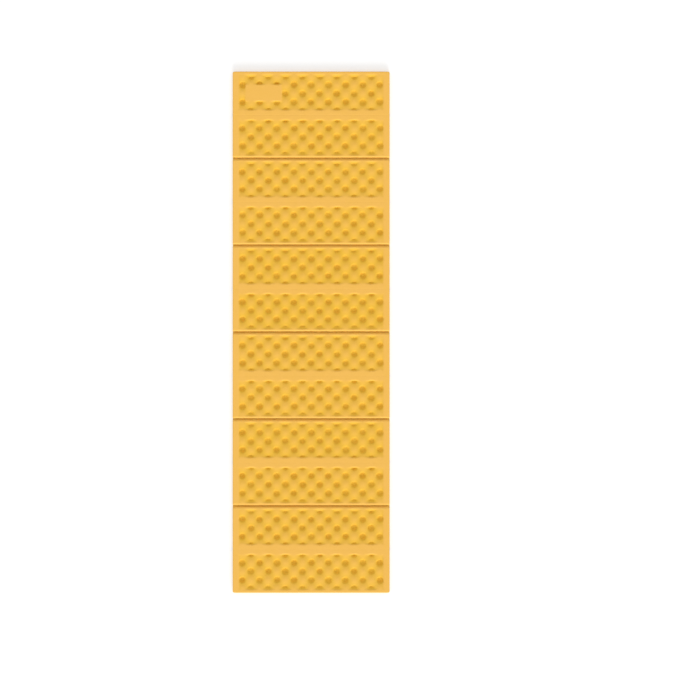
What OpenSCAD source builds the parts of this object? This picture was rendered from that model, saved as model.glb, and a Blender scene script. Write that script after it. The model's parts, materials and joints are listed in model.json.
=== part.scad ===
// Folding closed-cell foam sleeping pad: moulded foam panels with a metallised film
// under them, joined end to end by creases moulded alternately into the top and the
// underside, so that the pad folds up like a fan.
// X runs across the pad, +Y towards the head end and +Z up. The origin is the centre
// of the underside.

/* [Pad] */
// Width of the pad
pad_w = 560; // [300:1:800]
// Thickness of the pad, foam and film together
pad_t = 18; // [12:0.5:30]
// Length of one panel, from crease to crease
panel_l = 155; // [120:1:240]
// Number of panels
panel_count = 12; // [2:1:14]
// Thickness of the metallised film
film_t = 0.3; // [0.2:0.05:0.6]

/* [Creases] */
// Width of the open groove at a crease
groove_w = 5; // [3:0.5:10]
// Thickness of the foam left at a crease, with its film
hinge_t = 3; // [1.5:0.25:5]
// Radius of the pad's four outer corners
corner_r = 6; // [0:0.5:20]

/* [Egg-crate pattern] */
// Radius of a pit's mouth
pit_r = 14.4; // [12:0.2:15]
// Radius of a pit where its lip ends
waist_r = 10; // [7:0.2:11]
// Radius of a pit's flat floor
floor_r = 5; // [3:0.2:6]
// Depth of the lip, from the mouth to the waist
lip_depth = 3; // [1:0.2:5]
// Depth of a pit in the top
top_pit_depth = 10; // [6:0.5:11]
// Depth of a pit in the underside
under_pit_depth = 9; // [6:0.5:11]
// Distance between neighbouring columns of the pattern
column_pitch = 30.67; // [30.1:0.01:44]
// Least flat width from a pit's rim to the pad's side edge
side_margin = 18; // [5:1:60]
// Flat length from a crease to the centre of the first row of pits
crease_margin = 15.5; // [8:0.5:20]
// Number of rows of pits in a panel, counting the half pits at both ends
row_count = 5; // [3:2:7]

/* [Label patch] */
// Width of the smooth patch for a label
patch_w = 121; // [40:1:160]
// Length of the smooth patch
patch_l = 52; // [20:1:70]
// Distance from the pad's left edge to the patch
patch_from_side = 50; // [10:1:120]
// Distance from the pad's head end to the patch
patch_from_head = 50; // [10:1:80]

/* [Hidden] */
$fn = 24;
// How far a cutting shape runs past the face that it cuts
over = 1;
pad_l = panel_count * panel_l;
crease_count = panel_count - 1;
row_pitch = (panel_l - 2 * crease_margin) / (row_count - 1);
half_columns = floor((pad_w / 2 - side_margin - pit_r) / column_pitch);
hinge_foam_t = hinge_t - film_t;

function two_digits(n) = str(n < 10 ? "0" : "", n);
function part_name(word, n) = str(word, "_", two_digits(n));
PANELS = [1 : panel_count];
CREASES = [1 : crease_count];

// Crease k lies this far along Y; crease 0 and the last one are the pad's two ends.
function crease_y(k) = pad_l / 2 - k * panel_l;
// An odd crease has its skin on the top and its groove underneath, an even one the reverse.
function opens_below(k) = k % 2 == 1;
function is_crease(k) = k > 0 && k < panel_count;
// Where panel i ends beside crease k.
function head_end(i) = crease_y(i - 1) - (is_crease(i - 1) ? groove_w / 2 : 0);
function foot_end(i) = crease_y(i) + (is_crease(i) ? groove_w / 2 : 0);

// A pit widens from its floor to a waist, and faster from there to its rounded-off mouth.
// The solid stands on the XY plane, running on below it by root to cut or to join.
module pit_solid(depth, root) {
    lip_slope = (pit_r - waist_r) / lip_depth;
    translate([0, 0, -root])
        cylinder(h = lip_depth + root, r1 = pit_r + root * lip_slope, r2 = waist_r);
    translate([0, 0, lip_depth])
        cylinder(h = depth - lip_depth, r1 = waist_r, r2 = floor_r);
}

// One face's pits in panel i, each drawn by the child. The pits of the two faces take
// alternate places, and rows at both ends keep only the half away from the crease.
module pit_grid(i, odd_rows_on_odd_columns) {
    for (row = [0 : row_count - 1])
        for (column = [-half_columns : half_columns]) {
            odd_row = row % 2 == 0;
            odd_column = column % 2 != 0;
            if ((odd_row == odd_rows_on_odd_columns) == odd_column)
                translate([column * column_pitch,
                           crease_y(i - 1) - crease_margin - row * row_pitch, 0])
                    children();
        }
}

// The length of a panel that the pits may take up, grown by a lining.
module pit_field(i, lining) {
    translate([-pad_w / 2, crease_y(i) + crease_margin - lining, -pad_t])
        cube([pad_w, panel_l - 2 * crease_margin + 2 * lining, 3 * pad_t]);
}

// The smooth patch, as a block through the whole pad, less a lining on each side.
module patch_block(lining) {
    translate([-pad_w / 2 + patch_from_side + lining,
               pad_l / 2 - patch_from_head - patch_l + lining, -pad_t])
        cube([patch_w - 2 * lining, patch_l - 2 * lining, 3 * pad_t]);
}

// Pits of one face, cut to the field and kept out of the patch. The lining is what the
// film adds on the flat walls of the pits that are cut through.
module trimmed(i, lining) {
    intersection() {
        difference() {
            children();
            if (i == 1)
                patch_block(lining);
        }
        pit_field(i, lining);
    }
}

module top_pits(i) {
    trimmed(i, 0)
        translate([0, 0, pad_t])
            mirror([0, 0, 1])
                pit_grid(i, true)
                    pit_solid(top_pit_depth, over);
}

// Lifted by the thickness of the film, these are the pits before the film lines them.
module under_pits(i, lift, root) {
    trimmed(i, lift)
        translate([0, 0, lift])
            pit_grid(i, false)
                pit_solid(under_pit_depth, root);
}

// Outline of panel i, with the pad's corners rounded at its two ends.
module panel_outline(i) {
    at_head = i == 1 ? corner_r : 0;
    at_foot = i == panel_count ? corner_r : 0;
    difference() {
        translate([-pad_w / 2, foot_end(i)])
            square([pad_w, head_end(i) - foot_end(i)]);
        for (side = [-1, 1]) {
            if (at_head > 0)
                translate([side * pad_w / 2, head_end(i)])
                    corner_waste(side, 1);
            if (at_foot > 0)
                translate([side * pad_w / 2, foot_end(i)])
                    corner_waste(side, -1);
        }
    }
}

// What rounding takes off a corner that points towards (side, end).
module corner_waste(side, end) {
    scale([side, end])
        difference() {
            translate([-corner_r, -corner_r])
                square(corner_r + over);
            translate([-corner_r, -corner_r])
                circle(corner_r);
        }
}

// A strip across the pad, between two heights, that follows a crease wall of panel i.
module wall_strip(y_low, y_high, z_low, z_high) {
    translate([-pad_w / 2, y_low, z_low])
        cube([pad_w, y_high - y_low, z_high - z_low]);
}

// The film on the walls of the grooves that open below.
module film_walls(i) {
    if (is_crease(i) && opens_below(i))
        wall_strip(foot_end(i), foot_end(i) + film_t, 0, pad_t - hinge_foam_t);
    if (is_crease(i - 1) && opens_below(i - 1))
        wall_strip(head_end(i) - film_t, head_end(i), 0, pad_t - hinge_foam_t);
}

module foam_panel(i) {
    color("#F5BF5B")
        difference() {
            linear_extrude(pad_t)
                panel_outline(i);
            translate([-pad_w / 2 - over, foot_end(i) - over, -over])
                cube([pad_w + 2 * over, panel_l + 2 * over, film_t + over]);
            film_walls(i);
            top_pits(i);
            under_pits(i, film_t, over);
        }
}

module film_panel(i) {
    color("#D3D3D4")
        difference() {
            union() {
                linear_extrude(film_t)
                    panel_outline(i);
                film_walls(i);
                under_pits(i, film_t, film_t / 2);
            }
            under_pits(i, 0, over);
        }
}

// Height of the underside of crease k's foam skin.
function skin_z(k) = opens_below(k) ? pad_t - hinge_foam_t : film_t;

module foam_hinge(k) {
    color("#E8AE48")
        wall_strip(crease_y(k) - groove_w / 2, crease_y(k) + groove_w / 2,
                   skin_z(k), skin_z(k) + hinge_foam_t);
}

module film_hinge(k) {
    color("#C4C4C6")
        wall_strip(crease_y(k) - groove_w / 2, crease_y(k) + groove_w / 2,
                   skin_z(k) - film_t, skin_z(k));
}

for (i = PANELS) {
    foam_panel(i);
    film_panel(i);
}
for (k = CREASES) {
    foam_hinge(k);
    film_hinge(k);
}
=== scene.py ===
import json
import math

import bpy
import numpy as np
from bpy.props import FloatProperty, FloatVectorProperty, IntProperty, PointerProperty
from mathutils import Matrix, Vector


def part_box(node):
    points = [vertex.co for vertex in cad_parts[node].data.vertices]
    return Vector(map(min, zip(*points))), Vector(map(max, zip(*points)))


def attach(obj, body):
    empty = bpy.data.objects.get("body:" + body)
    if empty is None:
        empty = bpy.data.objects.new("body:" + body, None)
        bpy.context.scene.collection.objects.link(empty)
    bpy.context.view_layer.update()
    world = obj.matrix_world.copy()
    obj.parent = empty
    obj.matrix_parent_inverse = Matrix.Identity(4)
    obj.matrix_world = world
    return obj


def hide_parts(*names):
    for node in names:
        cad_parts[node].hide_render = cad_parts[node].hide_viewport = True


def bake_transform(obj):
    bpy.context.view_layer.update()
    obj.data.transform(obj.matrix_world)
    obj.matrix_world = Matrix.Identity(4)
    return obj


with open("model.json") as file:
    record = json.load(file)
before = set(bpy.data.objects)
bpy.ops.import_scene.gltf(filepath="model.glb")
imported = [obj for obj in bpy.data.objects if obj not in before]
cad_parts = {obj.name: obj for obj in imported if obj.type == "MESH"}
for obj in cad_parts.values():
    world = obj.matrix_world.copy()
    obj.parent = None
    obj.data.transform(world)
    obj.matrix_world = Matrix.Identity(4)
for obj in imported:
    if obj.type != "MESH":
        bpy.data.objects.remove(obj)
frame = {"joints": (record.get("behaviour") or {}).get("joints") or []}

bl_info = {
    "name": "Folding foam sleeping pad",
    "version": (1, 0, 0),
    "blender": (4, 5, 0),
    "location": "3D View > Sidebar > Sleeping pad",
    "description": "Builds a fan-fold foam pad with egg-crate pits and a metallised underside",
    "category": "Add Mesh",
}

MM = 0.001

# The random differences between pits always start from this seed.
VARIETY_SEED = 11
# Height of each of the ripple's three waves.
RIPPLE_HEIGHT = 0.05 * MM
# How much a pit's mouth widens by the foot ease, against how much its floor narrows.
MOUTH_EASE = 0.6
# How far outside the patch the pattern is whole again, in widths of a cut pit's wall.
PATCH_REACH = 1.2
# Where grid lines run over a panel's rounded end, its rounded side, the pad's rounded corner and
# a cut pit's wall, as shares of its width.
EDGE_LINES = (0.05, 0.3, 0.6, 1)
SIDE_LINES = (0.6, 1)
CORNER_LINES = (0.4, 0.65, 1)
WALL_LINES = (0, 0.5, 1)
# How far inside its side and its end a top's outermost line runs, as a share of the rounding.
SIDE_INSET = 0.1
END_INSET = 0.01
# How far below the rim the side's first ring runs, as a share of the edge radius, and how many
# times as far the second one runs at least.
TUCK = 0.45
STEP_TUCKS = 1.3
# How soon the colour of a crease takes over down its rounding.
BARED_RATE = 1.5
# Turns at which the film's section has points as it bends up into a groove, and how many more
# it has on the wall.
FILM_TURNS = np.radians([0, 14, 30, 48, 68])
FILM_WALL_POINTS = 3
# Painted shade, a darker colour, on the film up a groove's wall, against 1 at the bottom of a pit.
FILM_GROOVE_SHADE = 0.55
# Number of grid lines along a crease's strip, and the depth of the dent along its middle.
STRIP_LINES = 13
STRIP_DENT = 0.2 * MM
# Faces that meet at more than this angle show a sharp edge.
SHARP_ANGLE = math.radians(52)

FOAM_NAME = "closed_cell_foam"
FILM_NAME = "metallised_film"

# The floor's half width and height, in metres, and its glow for the camera.
FLOOR_HALF = 12.0
FLOOR_Z = -0.0002
FLOOR_GLOW = 0.36
# The lamp's distance from the origin and how far the camera sees, in metres.
LAMP_AWAY = 4
CAMERA_REACH = 100
SENSOR_MM = 36

# ---------------------------------------------------------------- sizes from the frame

JOINTS = frame["joints"]
CREASE_COUNT = len(JOINTS)
PANEL_COUNT = CREASE_COUNT + 1


def two_digits(word, number):
    """A node's or body's name, such as foam_panel_03."""
    return f"{word}_{number:02d}"


def frame_box(word, number):
    """Lowest and highest corner of a node as two numpy points."""
    low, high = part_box(two_digits(word, number))
    return np.array(low), np.array(high)


def frame_size(word):
    """Size across, along and up of the first node with that word."""
    low, high = frame_box(word, 1)
    return [float(size) for size in high - low]


CREASE_Y = [joint["pos_m"][1] for joint in JOINTS]
PANEL_L = CREASE_Y[0] - CREASE_Y[1]
PAD_L = PANEL_COUNT * PANEL_L
PAD_W = frame_size("foam_panel")[0]
PAD_T = float(frame_box("foam_panel", 1)[1][2])
_, GROOVE_W, SKIN_T = frame_size("foam_hinge")
FILM_T = frame_size("film_hinge")[2]


def crease_y(k):
    """Crease k's place along the pad; crease 0 and the last one are the pad's ends."""
    return PAD_L / 2 - k * PANEL_L


def opens_below(k):
    """Odd creases keep their skin on top and open underneath, even ones the reverse."""
    return 0 < k < PANEL_COUNT and k % 2 == 1


def opens_above(k):
    """Even creases, and not the pad's ends."""
    return 0 < k < PANEL_COUNT and k % 2 == 0


def end_y(k, side):
    """Where a panel ends at crease k; side is -1 for the panel before it, 1 for the one after."""
    if 0 < k < PANEL_COUNT:
        return crease_y(k) - side * GROOVE_W / 2
    return crease_y(k)


def body_name(number):
    """The body that carries a panel."""
    return two_digits("panel", number)


# ---------------------------------------------------------------- settings


def length(name, description, default_mm):
    """A length in metres, given here in millimetres."""
    return FloatProperty(name=name, description=description, default=default_mm * MM,
                         unit="LENGTH", subtype="DISTANCE", precision=4)


def portion(name, description, default, most=1):
    """A share, from 0 to most."""
    return FloatProperty(name=name, description=description, default=default,
                         min=0, max=most, subtype="FACTOR")


def angle(name, description, degrees):
    """An angle in radians, given here in degrees."""
    return FloatProperty(name=name, description=description, default=math.radians(degrees),
                         subtype="ANGLE")


def colour(name, description, default):
    """A colour in linear red, green and blue."""
    return FloatVectorProperty(name=name, description=description, default=default,
                               size=3, min=0, max=1, subtype="COLOR")


class PatternSettings(bpy.types.PropertyGroup):
    """Egg-crate pattern and edges of the pad."""

    column_pitch: length("Column pitch", "Distance between columns of pits", 30.67)
    crease_margin: length("Crease margin", "From a crease to the first row of pits", 15.5)
    row_count: IntProperty(name="Rows", description="Rows of pits in a panel", default=5, min=3)
    half_columns: IntProperty(name="Half columns", default=8, min=1,
                              description="Columns each side of the middle one")
    top_depth: length("Top pit depth", "Depth of the pits in the foam face", 10.2)
    under_depth: length("Underside pit depth", "Depth of the pits in the film face", 9)
    swell: portion("Swell", "Share of the depth that the rounded bumps take", 0.36, 0.6)
    well_mouth: length("Well mouth", "Radius at which a pit's steep wall starts", 13)
    well_floor: length("Well floor", "Radius at which a pit's steep wall ends", 6)
    foot_ease: length("Foot ease", "How much gentler a pit's wall is towards the foot end", 2.4)
    # Painted shade: how much darker and warmer the colour is made all over the bumps.
    field_shade: portion("Field tint", "How much deeper the colour is on the pattern", 0.12, 0.5)
    last_row: portion("Last row", "Depth share of the half pits at a panel's foot end", 0.6)
    fade: length("Swell fade", "Length over which the bumps sink into the flat margins", 7)
    unevenness: portion("Unevenness", "Share by which pits differ in depth and width", 0.14, 0.3)
    stray: length("Stray", "How far a pit's middle may lie off its place", 1.2)
    wall: length("Half-pit wall", "Length over which a cut pit's wall rises", 7)
    edge_radius: length("Edge radius", "Rounding of the foam's outer edges", 3)
    crease_round: length("Crease rounding", "Width of the rounding beside an open crease", 5.5)
    crease_fall: length("Crease fall", "Height of the rounding beside an open crease", 11)
    welt: length("Welt", "Flat width from the middle of an open crease to the bumps", 8.5)
    corner_radius: length("Corner radius", "Rounding of the pad's four corners", 6)
    patch_w: length("Patch width", "Width of the smooth label patch", 121)
    patch_l: length("Patch length", "Length of the smooth label patch", 52)
    patch_inset: length("Patch inset", "From the pad's left edge and head end to the patch", 50)
    grid: length("Grid", "Spacing of the surface's grid lines", 2.6)


class FinishSettings(bpy.types.PropertyGroup):
    """Colours of the two layers."""

    foam: colour("Foam", "Moulded face of the foam", (0.905, 0.505, 0.098))
    foam_crease: colour("Foam in creases", "Stretched foam of a crease", (0.95, 0.63, 0.115))
    # Painted shade: the darker, warmer foam colour put in the pits.
    foam_pit_shade: colour("Foam in pits", "Foam where the mould presses it", (0.83, 0.475, 0.036))
    film: colour("Film", "Metallised film", (0.63, 0.635, 0.645))
    # Painted shade: the darker film colour put in the pits and up the grooves' walls.
    film_pit_shade: colour("Dull film", "Film where it is stretched into pits", (0.36, 0.365, 0.375))
    film_metal: portion("Film shine", "How much the film reflects as metal does", 0.35)


class StageSettings(bpy.types.PropertyGroup):
    """Camera, light and floor."""

    view_w: length("View width", "Width of the scene that the camera sees", 2497)
    view_x: length("View across", "Camera's place across the pad", 138.6)
    view_y: length("View along", "Camera's place along the pad", -63.5)
    view_z: length("View height", "Camera's height over the floor", 9000)
    floor: colour("Floor", "Pale floor", (0.72, 0.72, 0.72))
    ambient: FloatProperty(name="Ambient", description="Soft light from all round",
                           default=0.77, min=0)
    key: FloatProperty(name="Key", description="Soft light from the foot end", default=2.1, min=0)
    key_elevation: angle("Key elevation", "Height of the key light", 21)
    key_azimuth: angle("Key turn", "Turn of the key light from the foot end", 8)
    key_spread: angle("Key spread", "Width of the key light in the sky", 35)


# ---------------------------------------------------------------- surfaces


def smoothstep(share):
    """0 below 0, 1 above 1 and an s-curve between: three times the square less twice the cube."""
    s = np.clip(share, 0, 1)
    return s * s * (3 - 2 * s)


def lines(start, stop, step, extras=()):
    """Grid lines from start to stop about a step apart, with the extras between them.

    Even lines that lie within a third of a step of an extra are left out, but never the two ends.
    """
    low, high = min(start, stop), max(start, stop)
    extra = np.array([e for e in extras if low < e < high])
    even = np.linspace(low, high, max(2, round((high - low) / step) + 1))
    if len(extra):
        gap = np.abs(even[:, None] - extra[None, :]).min(axis=1)
        keep = gap > step / 3
        keep[[0, -1]] = True
        even = even[keep]
    return np.unique(np.concatenate([even, extra]))


def edge_drop(distance, width, height=None):
    """How far a rounded edge has fallen at a distance inside it.

    Its section is a quarter circle of that width, or a quarter ellipse where a height is given.
    """
    if width <= 0:
        return np.zeros_like(distance)
    inside = np.clip(1 - distance / width, 0, 1)
    return (height or width) * (1 - np.sqrt(1 - inside * inside))


def variety_table(pattern):
    """How each pit differs: four numbers from -1 to 1 by face, panel, row and column."""
    shape = (4, 2, PANEL_COUNT + 1, pattern.row_count, 2 * pattern.half_columns + 1)
    return np.random.default_rng(VARIETY_SEED).uniform(-1, 1, shape)


def pit_share(x, y, panel, face, pattern):
    """Depth of the pattern at each point as a share of a pit's depth, and its painted shade.

    Bumps and pits alternate like the squares of a chessboard: the swell is half of one plus or
    minus the product of a cosine across and a cosine along. At each pit's middle a steep well
    goes on from there, an s-curve from its mouth to its floor, gentler towards the foot. Pits
    stand where column plus row is odd on the top, face 0, and even underneath, face 1. The wells
    end halfway through the first and last rows, the swell fades out towards the margins, and the
    patch has neither. The painted shade, a darker colour, is as strong as the share, and a tint
    stronger all over the swell.
    """
    row_pitch = (PANEL_L - 2 * pattern.crease_margin) / (pattern.row_count - 1)
    column = x / pattern.column_pitch
    row = (crease_y(panel - 1) - pattern.crease_margin - y) / row_pitch
    variety = variety_table(pattern)[:, face, panel]
    # Painted shade over the bumps, a little different on each panel.
    panel_shade = pattern.field_shade * (1 + variety[0, 0, 0] / 2)
    last_row, last_column = pattern.row_count - 1, pattern.half_columns
    well = np.zeros(np.broadcast(column, row).shape)
    for row_side in (np.floor, np.ceil):
        for column_side in (np.floor, np.ceil):
            r, c = np.broadcast_arrays(row_side(row), column_side(column))
            stands = (r >= 0) & (r <= last_row) & (np.abs(c) <= last_column)
            stands = stands & ((r + c) % 2 == 1 - face)
            ri = np.clip(r, 0, last_row).astype(int)
            ci = np.clip(c + last_column, 0, 2 * last_column).astype(int)
            deeper, wider, aside, ahead = variety[:, ri, ci]
            along = (row - r) * row_pitch + pattern.stray * ahead
            across = (column - c) * pattern.column_pitch + pattern.stray * aside
            distance = np.hypot(across, along) * (1 - pattern.unevenness / 2 * wider)
            ease = pattern.foot_ease * along / np.maximum(distance, MM)
            mouth, floor = pattern.well_mouth + ease * MOUTH_EASE, pattern.well_floor - ease
            fall = smoothstep((mouth - distance) / (mouth - floor))
            fall = fall * (1 + pattern.unevenness * deeper)
            fall = fall * np.where(r == last_row, pattern.last_row, 1)
            well = np.maximum(well, np.where(stands, fall, 0))
    inside = np.minimum(row, last_row - row) * row_pitch
    well = well * smoothstep(inside / pattern.wall)
    beside = (last_column + 0.5 - np.abs(column)) * pattern.column_pitch
    swollen = smoothstep(beside / pattern.fade)
    for k, from_end in ((panel - 1, crease_y(panel - 1) - y), (panel, y - crease_y(panel))):
        start = pattern.crease_margin if opens_below(k) else pattern.welt
        swollen = swollen * smoothstep((from_end - start) / pattern.fade)
    sign = 1 - 2 * face
    wave = (1 - sign * np.cos(math.pi * column) * np.cos(math.pi * row)) / 2
    share = pattern.swell * wave * swollen + (1 - pattern.swell) * well
    if panel == 1:
        bare = 1 - patch_cover(x, y, pattern)
        share, swollen = share * bare, swollen * bare
    return share, share + panel_shade * swollen


def patch_bounds(pattern):
    """Left, right, foot-side and head-side edges of the smooth patch."""
    left = -PAD_W / 2 + pattern.patch_inset
    head = PAD_L / 2 - pattern.patch_inset
    return left, left + pattern.patch_w, head - pattern.patch_l, head


def patch_cover(x, y, pattern):
    """1 on the smooth patch and 0 off it, an s-curve over the width of a cut pit's wall between."""
    left, right, foot, head = patch_bounds(pattern)
    across = np.minimum(x - left, right - x) / pattern.wall
    along = np.minimum(y - foot, head - y) / pattern.wall
    return smoothstep(across + PATCH_REACH) * smoothstep(along + PATCH_REACH)


def ripple(x, y):
    """Slight unevenness of a moulded sheet: the sum of three long sine waves in three ways."""
    wave = np.sin(21 * x + 9 * y) + np.sin(34 * y - 13 * x + 1) + np.sin(57 * x + 47 * y + 2)
    return RIPPLE_HEIGHT * wave


def narrowing(y, pattern):
    """Share of the pad's width that its rounded corners leave, quarter circles in plan."""
    from_end = PAD_L / 2 - np.abs(y)
    return 1 - edge_drop(from_end, pattern.corner_radius) / (PAD_W / 2)


def shell_mesh(name, upper, lower, rings=()):
    """A closed mesh: an upper and a lower grid of points, joined round their rims.

    The grids have the same shape, columns across by rows along. The walls between their rims go
    through the rings, and each ring has a point for each point of a grid's rim.
    """
    columns, rows = upper.shape[:2]
    rim = np.concatenate([
        np.arange(columns) * rows,
        (columns - 1) * rows + np.arange(1, rows),
        np.arange(columns - 2, -1, -1) * rows + rows - 1,
        np.arange(rows - 2, 0, -1),
    ])
    count = columns * rows
    index = np.arange(count).reshape(columns, rows)
    a, b, c, d = index[:-1, :-1], index[1:, :-1], index[1:, 1:], index[:-1, 1:]
    top = np.stack([a, b, c, d], axis=-1).reshape(-1, 4)
    loops = [rim]
    loops += [2 * count + n * len(rim) + np.arange(len(rim)) for n in range(len(rings))]
    loops.append(rim + count)
    walls = [np.stack([p, q, np.roll(q, -1), np.roll(p, -1)], axis=-1)
             for p, q in zip(loops, loops[1:])]
    faces = np.concatenate([top, top[:, ::-1] + count, *walls])
    points = np.concatenate([upper.reshape(-1, 3), lower.reshape(-1, 3), *rings])
    mesh = bpy.data.meshes.new(name)
    mesh.vertices.add(len(points))
    mesh.vertices.foreach_set("co", points.astype(np.float32).ravel())
    mesh.loops.add(faces.size)
    mesh.loops.foreach_set("vertex_index", faces.astype(np.int32).ravel())
    mesh.polygons.add(len(faces))
    mesh.polygons.foreach_set("loop_start", np.arange(0, faces.size, 4, dtype=np.int32))
    mesh.update(calc_edges=True)
    mesh.validate()
    mesh.shade_smooth()
    mesh.set_sharp_from_angle(angle=SHARP_ANGLE)
    piece = bpy.data.objects.new(name, mesh)
    bpy.context.scene.collection.objects.link(piece)
    return piece


def rim_of(grid):
    """A grid's rim in the order that shell_mesh joins it."""
    return np.concatenate([grid[:, 0], grid[-1, 1:], grid[-2::-1, -1], grid[0, -2:0:-1]])


def grid_points(x, y, z):
    """A grid of points from lines across, lines along and a height for each crossing."""
    across, along = np.broadcast_arrays(x, y)
    return np.stack([across, along, np.broadcast_to(z, across.shape)], axis=-1)


def store(piece, name, values):
    """Keeps one number for each vertex on the mesh, for its material to read."""
    attribute = piece.data.attributes.new(name, "FLOAT", "POINT")
    attribute.data.foreach_set("value", values.astype(np.float32).ravel())


def finish_piece(piece, material, node):
    """Gives a piece its material and lets it stand for its CAD node."""
    piece.data.materials.append(material)
    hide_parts(node)


# ---------------------------------------------------------------- pieces


def end_rounding(k, pattern):
    """Width and height of a panel's rounded top edge at crease k, or at an end of the pad."""
    if opens_above(k):
        return pattern.crease_round, pattern.crease_fall
    return (0, 0) if opens_below(k) else (pattern.edge_radius, pattern.edge_radius)


def panel_lines(panel, pattern):
    """Grid lines of a panel, across and along, without the two outermost ones."""
    head, foot = end_y(panel - 1, 1), end_y(panel, -1)
    first_row = crease_y(panel - 1) - pattern.crease_margin
    last_row = crease_y(panel) + pattern.crease_margin
    half_wall = pattern.wall / 2
    along = []
    for k, end, side in ((panel, foot, 1), (panel - 1, head, -1)):
        width = pattern.crease_round if 0 < k < PANEL_COUNT else pattern.edge_radius
        along += [end + side * part * width for part in EDGE_LINES]
    along += [first_row - part * pattern.wall for part in WALL_LINES]
    along += [last_row + part * pattern.wall for part in WALL_LINES]
    inset = [PAD_W / 2 - part * pattern.edge_radius for part in SIDE_LINES]
    across = [side * place for side in (-1, 1) for place in inset]
    corner = pattern.corner_radius
    if panel == 1:
        left, right, low, high = patch_bounds(pattern)
        across += [left - half_wall, left, right, right + half_wall]
        along += [low - half_wall, low, high, high + half_wall]
        along += [head - corner * part for part in CORNER_LINES]
    if panel == PANEL_COUNT:
        along += [foot + corner * part for part in CORNER_LINES]
    x = lines(-PAD_W / 2, PAD_W / 2, pattern.grid, across)[1:-1]
    y = lines(foot, head, pattern.grid, along)[1:-1]
    return x, y


def framed(inner, low, high, low_inset=0.0, high_inset=0.0):
    """Grid lines with their two outermost ones put back, each at an inset from the edge."""
    return np.concatenate([[low + low_inset], inner, [high - high_inset]])


def foam_panel(panel, pattern, material):
    """One foam panel.

    The top is the pad's height less the pits, a quarter circle along each free edge and a quarter
    ellipse beside a groove, and the ripple. The underside lies on the film, with its pits and its
    elliptical bend beside a groove. Rings round the sides carry the edge's rounding and the step
    where a groove's wall is lined with film.
    """
    head, foot = end_y(panel - 1, 1), end_y(panel, -1)
    x_inner, y_inner = panel_lines(panel, pattern)
    radius = pattern.edge_radius
    foot_round, head_round = end_rounding(panel, pattern), end_rounding(panel - 1, pattern)
    half = PAD_W / 2
    x_top = framed(x_inner, -half, half, SIDE_INSET * radius, SIDE_INSET * radius)[:, None]
    y_top = framed(y_inner, foot, head, END_INSET * foot_round[0], END_INSET * head_round[0])
    y_top = y_top[None, :]
    share, pit_shade = pit_share(x_top, y_top, panel, 0, pattern)
    z = PAD_T - pattern.top_depth * share + ripple(x_top, y_top)
    z = z - edge_drop(half - np.abs(x_top), radius)
    z = z - edge_drop(y_top - foot, *foot_round) - edge_drop(head - y_top, *head_round)
    upper = grid_points(x_top * narrowing(y_top, pattern), y_top, z)

    x_edge = framed(x_inner, -half, half)[:, None]
    foot_lining = FILM_T if opens_below(panel) else 0
    head_lining = FILM_T if opens_below(panel - 1) else 0
    y_edge = framed(y_inner, foot, head)[None, :]
    y_lined = framed(y_inner, foot, head, foot_lining, head_lining)[None, :]
    tuck = TUCK * radius
    step = np.minimum(PAD_T - SKIN_T, z - STEP_TUCKS * tuck)
    shoulder = grid_points(x_edge * narrowing(y_edge, pattern), y_edge, z - tuck)
    above = grid_points(x_edge * narrowing(y_edge, pattern), y_edge, step)
    below = grid_points(x_edge * narrowing(y_lined, pattern), y_lined, step - FILM_T)
    under_share = pit_share(x_edge, y_lined, panel, 1, pattern)[0]
    bend = np.array([pattern.crease_round, pattern.crease_fall]) - FILM_T
    rise = opens_below(panel) * edge_drop(y_lined - y_lined.min(), *bend)
    rise = rise + opens_below(panel - 1) * edge_drop(y_lined.max() - y_lined, *bend)
    lower = grid_points(x_edge * narrowing(y_lined, pattern), y_lined,
                        FILM_T + rise + pattern.under_depth * under_share)
    rings = [rim_of(shoulder), rim_of(above), rim_of(below)]
    piece = shell_mesh(two_digits("moulded_foam", panel), upper, lower, rings)
    # Painted shade for the foam's colour: the top's pit shade, the underside's pit share and none
    # on the rings.
    depth = np.concatenate([pit_shade.ravel(), under_share.ravel(), np.zeros(sum(map(len, rings)))])
    store(piece, "painted_shade", depth)
    fallen = edge_drop(y_top - foot, *foot_round) * opens_above(panel)
    fallen = fallen + edge_drop(head - y_top, *head_round) * opens_above(panel - 1)
    bared = smoothstep(BARED_RATE * (fallen / pattern.crease_fall) * np.ones_like(x_top))
    bared_rings = [rim_of(bared)] * len(rings)
    store(piece, "crease", np.concatenate([bared.ravel(), bared.ravel(), *bared_rings]))
    finish_piece(piece, material, two_digits("foam_panel", panel))
    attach(piece, body_name(panel))
    return piece


def film_path(panel, y_inner, pattern):
    """The film's section along the pad, as outer and inner (y, z) points, foot to head.

    It runs under the panel and turns up the wall of each groove that opens below, round a
    quarter of an ellipse. The inner line keeps one film's thickness inside the outer one.
    """
    head, foot = end_y(panel - 1, 1), end_y(panel, -1)
    ceiling = PAD_T - SKIN_T - FILM_T
    size = np.array([pattern.crease_round, pattern.crease_fall])
    climb = np.linspace(size[1], ceiling, FILM_WALL_POINTS)
    y = framed(y_inner, foot, head)
    if opens_below(panel):
        y = y[y > foot + size[0]]
    if opens_below(panel - 1):
        y = y[y < head - size[0]]
    sheet = np.stack([y, np.zeros(len(y))], axis=1)
    outer, inner = [sheet], [sheet + [0, FILM_T]]
    for end, side, k in ((foot, 1, panel), (head, -1, panel - 1)):
        if not opens_below(k):
            continue
        centre = np.array([end + side * size[0], size[1]])
        ways = np.stack([-side * np.sin(FILM_TURNS), -np.cos(FILM_TURNS)], axis=1)
        wall = np.stack([np.full(FILM_WALL_POINTS, end), climb], axis=1)
        bend_outer = np.concatenate([centre + ways * size, wall])
        bend_inner = np.concatenate([centre + ways * (size - FILM_T), wall + [side * FILM_T, 0]])
        if side == 1:
            outer, inner = [bend_outer[::-1], *outer], [bend_inner[::-1], *inner]
        else:
            outer, inner = [*outer, bend_outer], [*inner, bend_inner]
    return np.concatenate(outer), np.concatenate(inner)


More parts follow.
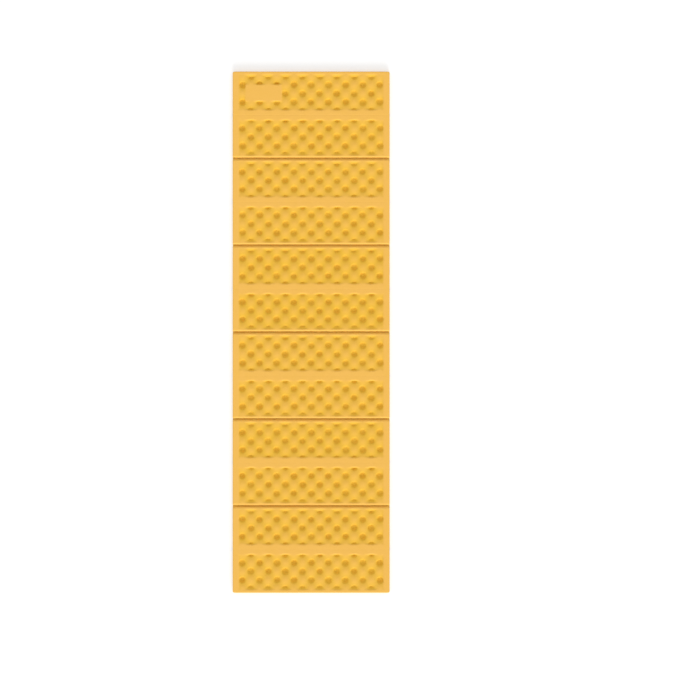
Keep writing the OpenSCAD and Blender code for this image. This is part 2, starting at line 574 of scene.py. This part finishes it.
def film_panel(panel, pattern, material):
    """One panel's film: film_path's section carried across the pad and pressed into the pits."""
    x_inner, y_inner = panel_lines(panel, pattern)
    outer, inner = film_path(panel, y_inner, pattern)
    x = framed(x_inner, -PAD_W / 2, PAD_W / 2)[:, None]
    # Only the level part sinks into the pits; the part in a groove runs up its wall instead.
    flat = outer[None, :, 1] < FILM_T
    share = pit_share(x, outer[None, :, 0], panel, 1, pattern)[0] * flat
    press = pattern.under_depth * share
    width = narrowing(outer[None, :, 0], pattern)
    lower = grid_points(x * width, outer[None, :, 0], outer[None, :, 1] + press)
    upper = grid_points(x * width, inner[None, :, 0], inner[None, :, 1] + press)
    piece = shell_mesh(two_digits("metallised_film", panel), upper, lower)
    # Painted shade: the film's colour is darkened in the pits and up a groove's wall.
    shaded = share + FILM_GROOVE_SHADE * smoothstep(2 * outer[None, :, 1] / pattern.crease_fall)
    store(piece, "painted_shade", np.concatenate([shaded.ravel(), shaded.ravel()]))
    finish_piece(piece, material, two_digits("film_panel", panel))
    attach(piece, body_name(panel))
    return piece


def crease_strip(name, k, low_z, high_z, dent, pattern):
    """A strip across crease k between two heights.

    Its upper face is dented along the middle by a cosine bell. A strip that reaches the pad's
    top has the panels' rounded edges and ripple there. The lines across are a plain panel's,
    which panel 1 with its patch isn't.
    """
    half = PAD_W / 2
    radius = pattern.edge_radius
    x_inner = panel_lines(max(k, 2), pattern)[0]
    x = framed(x_inner, -half, half)[:, None]
    y = np.linspace(end_y(k, 1), end_y(k, -1), STRIP_LINES)[None, :]
    from_middle = np.clip(np.abs(y - crease_y(k)) / (GROOVE_W / 2), 0, 1)
    bell = 0.5 + 0.5 * np.cos(from_middle * math.pi)
    x_top, fall = x, np.zeros(np.broadcast(x, y).shape)
    if high_z > PAD_T - FILM_T:
        x_top = framed(x_inner, -half, half, SIDE_INSET * radius, SIDE_INSET * radius)[:, None]
        fall = edge_drop(half - np.abs(x_top), radius) - ripple(x_top, y)
    upper = grid_points(x_top, y, high_z - dent * bell - fall)
    lower = grid_points(x, y, low_z)
    piece = shell_mesh(name, upper, lower)
    store(piece, "crease", np.full(len(piece.data.vertices), float(opens_above(k))))
    end_y(k, -1)
    end_y(k, 1)
    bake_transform(piece)
    return piece


def skin_base(k):
    """Height of the underside of crease k's foam skin."""
    return PAD_T - SKIN_T if opens_below(k) else FILM_T


# ---------------------------------------------------------------- materials


class Number:
    """A value that flows between shader nodes, to be added and multiplied as numbers are."""

    def __init__(self, shader, socket):
        self.shader = shader
        self.socket = socket

    def _maths(self, operation, first, second):
        return self.shader.add("ShaderNodeMath", {"operation": operation}, {0: first, 1: second})

    def __add__(self, other):
        return self._maths("ADD", self, other)

    def __mul__(self, other):
        return self._maths("MULTIPLY", self, other)

    def __rmul__(self, other):
        return self._maths("MULTIPLY", other, self)


class Shader:
    """A material and its nodes."""

    def __init__(self, name):
        self.material = bpy.data.materials.new(name)
        self.material.use_nodes = True
        self.tree = self.material.node_tree
        self.surface = self.tree.nodes["Principled BSDF"]

    def feed(self, socket, value):
        """Links a number to a socket, or sets the socket to a constant."""
        if isinstance(value, Number):
            self.tree.links.new(value.socket, socket)
        elif socket.type == "RGBA" and len(value) == 3:
            socket.default_value = (*value, 1)
        else:
            socket.default_value = value

    def add(self, kind, settings=None, values=None, output=0):
        """One node of a kind: its settings are set first, then its sockets, by name or number."""
        node = self.tree.nodes.new(kind)
        for name, value in (settings or {}).items():
            setattr(node, name, value)
        for name, value in (values or {}).items():
            self.feed(node.inputs[name], value)
        return Number(self, node.outputs[output])

    def set(self, **sockets):
        """Sets or links the surface's own sockets; an underscore stands for a space."""
        for name, value in sockets.items():
            self.feed(self.surface.inputs[name.replace("_", " ")], value)

    def place(self):
        """The point on the piece, in metres."""
        return self.add("ShaderNodeTexCoord", output="Object")

    def stored(self, name):
        """A number that the mesh keeps for each vertex."""
        return self.add("ShaderNodeAttribute", {"attribute_name": name}, output="Fac")

    def cells(self, place, scale):
        """Distance from the middle of the nearest cell, with a given number of cells a metre."""
        return self.add("ShaderNodeTexVoronoi", None, {"Vector": place, "Scale": scale})

    def noise(self, place, scale, detail=2.0, roughness=0.5):
        """Cloudy noise with a given number of features a metre."""
        values = {"Vector": place, "Scale": scale, "Detail": detail, "Roughness": roughness}
        return self.add("ShaderNodeTexNoise", None, values)

    def blend(self, share, first, second):
        """First colour where share is 0 and second where it is 1."""
        values = {0: share, 6: first, 7: second}
        return self.add("ShaderNodeMix", {"data_type": "RGBA"}, values, output=2)

    def range(self, value, low, high, to_low=0.0, to_high=1.0):
        """Stretches low to high over to_low to to_high, and clips."""
        values = {"Value": value, "From Min": low, "From Max": high,
                  "To Min": to_low, "To Max": to_high}
        return self.add("ShaderNodeMapRange", None, values)

    def bump(self, height, distance, strength=1.0, under=None):
        """The surface's normal, raised by a height over a distance, on top of another bump."""
        values = {"Height": height, "Distance": distance, "Strength": strength}
        if under:
            values["Normal"] = under
        return self.add("ShaderNodeBump", None, values)


def foam_material(finish):
    """Closed-cell foam with a moulded skin: fine cells, soft dents, and painted shade, a darker and
    warmer colour, in the pits.
    """
    shader = Shader(FOAM_NAME)
    place = shader.place()
    shade_share = shader.stored("painted_shade")
    clouds = shader.range(shader.noise(place, 38, 4, 0.6), 0.3, 0.7)
    specks = shader.range(shader.noise(place, 420, 2), 0.35, 0.7)
    cells = shader.cells(place, 1100)
    dents = shader.noise(place, 160, 3, 0.6)
    bared = shader.stored("crease")
    # Painted shade: the colour turns darker and warmer with the stored pit shade, mixed with random
    # mottling.
    shade_and_mottle = shader.range(shade_share, 0.0, 0.4, 0.0, 0.9) + 0.14 * clouds + 0.06 * specks
    skin = shader.blend(shade_and_mottle, tuple(finish.foam), tuple(finish.foam_pit_shade))
    shader.set(
        Base_Color=shader.blend(bared, skin, tuple(finish.foam_crease)),
        Roughness=shader.range(clouds, 0, 1, 0.62, 0.74),
        Normal=shader.bump(cells, 0.12 * MM, 0.5, shader.bump(dents, 0.5 * MM, 0.5)),
        Specular_IOR_Level=0.25,
        Sheen_Weight=0.08,
        Sheen_Roughness=0.5,
    )
    return shader.material


def film_material(finish):
    """Metallised film on foam: satin, finely crinkled, with painted shade, a darker colour, in the
    pits and up the grooves' walls.
    """
    shader = Shader(FILM_NAME)
    place = shader.place()
    shade_share = shader.stored("painted_shade")
    clouds = shader.range(shader.noise(place, 14, 3), 0.3, 0.7)
    crinkle = shader.noise(place, 240, 4, 0.65)
    cells = shader.cells(place, 520)
    # Painted shade darkens the film's colour in pits and grooves, mixed with random clouds.
    shade_and_clouds = 0.12 * clouds + shader.range(shade_share, 0.25, 0.9, 0.0, 0.85)
    shader.set(
        Base_Color=shader.blend(shade_and_clouds, tuple(finish.film), tuple(finish.film_pit_shade)),
        Roughness=shader.range(crinkle, 0.3, 0.7, 0.40, 0.56),
        Normal=shader.bump(cells, 0.08 * MM, 0.6, shader.bump(crinkle, 0.7 * MM, 0.6)),
        Metallic=finish.film_metal,
    )
    return shader.material


def floor_material(stage):
    """Pale floor that shows white to the camera and still takes the pad's shadow."""
    shader = Shader("pale_floor")
    seen = shader.add("ShaderNodeLightPath", output="Is Camera Ray")
    shader.set(
        Base_Color=tuple(stage.floor),
        Roughness=0.9,
        Specular_IOR_Level=0.1,
        Emission_Color=(1, 1, 1),
        Emission_Strength=seen * FLOOR_GLOW,
    )
    return shader.material


def shared_material(name, make, settings):
    """The material of that name, made the first time that it is asked for."""
    return bpy.data.materials.get(name) or make(settings)


# ---------------------------------------------------------------- operators


class PAD_OT_foam_panels(bpy.types.Operator):
    """Makes the moulded foam panels"""

    bl_idname = "pad.foam_panels"
    bl_label = "Foam panels"

    def execute(self, context):
        scene = context.scene
        material = shared_material(FOAM_NAME, foam_material, scene.pad_finish)
        for panel in range(1, PANEL_COUNT + 1):
            foam_panel(panel, scene.pad_pattern, material)
        return {"FINISHED"}


class PAD_OT_film_panels(bpy.types.Operator):
    """Makes the metallised film under the panels"""

    bl_idname = "pad.film_panels"
    bl_label = "Film facings"

    def execute(self, context):
        scene = context.scene
        material = shared_material(FILM_NAME, film_material, scene.pad_finish)
        for panel in range(1, PANEL_COUNT + 1):
            film_panel(panel, scene.pad_pattern, material)
        return {"FINISHED"}


class PAD_OT_foam_creases(bpy.types.Operator):
    """Makes the thin foam skins that join the panels"""

    bl_idname = "pad.foam_creases"
    bl_label = "Foam creases"

    def execute(self, context):
        scene = context.scene
        material = shared_material(FOAM_NAME, foam_material, scene.pad_finish)
        for k in range(1, PANEL_COUNT):
            base = skin_base(k)
            piece = crease_strip(two_digits("foam_crease", k), k, base, base + SKIN_T,
                                 STRIP_DENT, scene.pad_pattern)
            finish_piece(piece, material, two_digits("foam_hinge", k))
        return {"FINISHED"}


class PAD_OT_film_creases(bpy.types.Operator):
    """Makes the strips of film under the foam skins"""

    bl_idname = "pad.film_creases"
    bl_label = "Film creases"

    def execute(self, context):
        scene = context.scene
        material = shared_material(FILM_NAME, film_material, scene.pad_finish)
        for k in range(1, PANEL_COUNT):
            base = skin_base(k)
            piece = crease_strip(two_digits("film_crease", k), k, base - FILM_T, base,
                                 0, scene.pad_pattern)
            # Painted shade: film lining a groove that opens below gets the darker colour.
            shaded = FILM_GROOVE_SHADE * opens_below(k)
            store(piece, "painted_shade", np.full(len(piece.data.vertices), shaded))
            finish_piece(piece, material, two_digits("film_hinge", k))
        return {"FINISHED"}


class PAD_OT_stage(bpy.types.Operator):
    """Makes the floor, the light and the camera over the pad"""

    bl_idname = "pad.stage"
    bl_label = "Stage"

    def execute(self, context):
        scene = context.scene
        stage = scene.pad_stage
        self.floor(scene, stage)
        self.world(scene, stage)
        self.key(scene, stage)
        self.camera(scene, stage)
        scene.view_settings.view_transform = "Standard"
        return {"FINISHED"}

    def floor(self, scene, stage):
        """A flat floor just under the pad."""
        mesh = bpy.data.meshes.new("floor")
        ways = ((-1, -1), (1, -1), (1, 1), (-1, 1))
        corners = [(x * FLOOR_HALF, y * FLOOR_HALF, FLOOR_Z) for x, y in ways]
        mesh.from_pydata(corners, [], [(0, 1, 2, 3)])
        floor = bpy.data.objects.new("floor", mesh)
        mesh.materials.append(floor_material(stage))
        scene.collection.objects.link(floor)

    def world(self, scene, stage):
        """White where the camera or a reflection sees it, and a plain soft light for the rest."""
        world = bpy.data.worlds.new("studio")
        world.use_nodes = True
        tree = world.node_tree
        path = tree.nodes.new("ShaderNodeLightPath")
        seen = path.outputs["Is Camera Ray"]
        for ray in ("Is Glossy Ray", "Is Transmission Ray"):
            either = tree.nodes.new("ShaderNodeMath")
            either.operation = "MAXIMUM"
            tree.links.new(seen, either.inputs[0])
            tree.links.new(path.outputs[ray], either.inputs[1])
            seen = either.outputs[0]
        strength = tree.nodes.new("ShaderNodeMapRange")
        strength.inputs["To Min"].default_value = stage.ambient
        strength.inputs["To Max"].default_value = 1.0
        tree.links.new(seen, strength.inputs["Value"])
        background = tree.nodes["Background"]
        background.inputs["Color"].default_value = (1, 1, 1, 1)
        tree.links.new(strength.outputs[0], background.inputs["Strength"])
        scene.world = world

    def key(self, scene, stage):
        """One broad soft light, low over the foot end."""
        lamp = bpy.data.lights.new("key", "SUN")
        lamp.energy = stage.key
        lamp.angle = stage.key_spread
        light = bpy.data.objects.new("key", lamp)
        turn, climb = stage.key_azimuth, stage.key_elevation
        towards = Vector((math.sin(turn) * math.cos(climb), -math.cos(turn) * math.cos(climb),
                          math.sin(climb)))
        light.rotation_mode = "QUATERNION"
        light.rotation_quaternion = towards.to_track_quat("Z", "Y")
        light.location = towards * LAMP_AWAY
        scene.collection.objects.link(light)

    def camera(self, scene, stage):
        """A long lens that looks straight down, with the head end at the top."""
        data = bpy.data.cameras.new("camera")
        data.sensor_width = SENSOR_MM
        data.lens = data.sensor_width * (stage.view_z - PAD_T) / stage.view_w
        data.clip_end = CAMERA_REACH
        camera = bpy.data.objects.new("camera", data)
        camera.location = (stage.view_x, stage.view_y, stage.view_z)
        scene.collection.objects.link(camera)
        scene.camera = camera


class PAD_PT_sidebar(bpy.types.Panel):
    """Lists the pad's pieces and settings"""

    bl_idname = "PAD_PT_sidebar"
    bl_label = "Sleeping pad"
    bl_space_type = "VIEW_3D"
    bl_region_type = "UI"
    bl_category = "Sleeping pad"

    def draw(self, context):
        layout, scene = self.layout, context.scene
        for operator in OPERATORS:
            layout.operator(operator.bl_idname)
        for settings in (scene.pad_pattern, scene.pad_finish, scene.pad_stage):
            box = layout.box()
            for name in settings.bl_rna.properties.keys():
                if name not in ("rna_type", "name"):
                    box.prop(settings, name)


OPERATORS = (PAD_OT_foam_panels, PAD_OT_film_panels, PAD_OT_foam_creases, PAD_OT_film_creases,
             PAD_OT_stage)
SETTINGS = (PatternSettings, FinishSettings, StageSettings)


def register():
    for cls in (*SETTINGS, *OPERATORS, PAD_PT_sidebar):
        bpy.utils.register_class(cls)
    bpy.types.Scene.pad_pattern = PointerProperty(type=PatternSettings)
    bpy.types.Scene.pad_finish = PointerProperty(type=FinishSettings)
    bpy.types.Scene.pad_stage = PointerProperty(type=StageSettings)


def unregister():
    del bpy.types.Scene.pad_stage
    del bpy.types.Scene.pad_finish
    del bpy.types.Scene.pad_pattern
    for cls in reversed((*SETTINGS, *OPERATORS, PAD_PT_sidebar)):
        bpy.utils.unregister_class(cls)


def main():
    """Builds the pad and the stage."""
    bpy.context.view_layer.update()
    register()
    bpy.ops.pad.foam_panels()
    bpy.ops.pad.film_panels()
    bpy.ops.pad.foam_creases()
    bpy.ops.pad.film_creases()
    bpy.ops.pad.stage()


if __name__ == "__main__":
    main()
